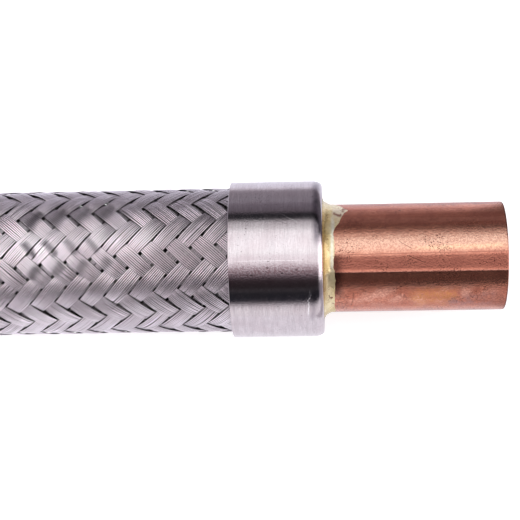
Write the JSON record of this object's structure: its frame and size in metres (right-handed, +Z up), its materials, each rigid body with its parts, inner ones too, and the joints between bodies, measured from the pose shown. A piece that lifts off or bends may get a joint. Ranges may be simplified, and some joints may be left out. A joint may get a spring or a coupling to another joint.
{
  "type": "vibration eliminator",
  "caption": "Braided flexible refrigerant line: a corrugated steel hose under a wire braid, with a steel ferrule and a brazed copper stub at each end.",
  "frame": {"origin": "middle of the hose, on its centre line", "axes": "+X along the hose, out of the right-hand stub; +Z up, away from the surface that the part lies on"},
  "size_m": [0.26, 0.0322, 0.0322],
  "materials": {
    "braid_steel": "bright drawn stainless wire",
    "ferrule_steel": "stainless steel with fine turning lines round it",
    "hose_steel": "plain thin stainless steel",
    "copper": null,
    "braze": "pale brazing alloy, as run"
  },
  "bodies": {
    "root": {"corrugated_hose": "hose_steel", "wire_braid": "braid_steel", "right_copper_stub": "copper", "right_braze_fillet": "braze", "right_ferrule": "ferrule_steel", "right_support_ring": "hose_steel", "left_copper_stub": "copper", "left_braze_fillet": "braze", "left_ferrule": "ferrule_steel", "left_support_ring": "hose_steel"}
  },
  "joints": []
}
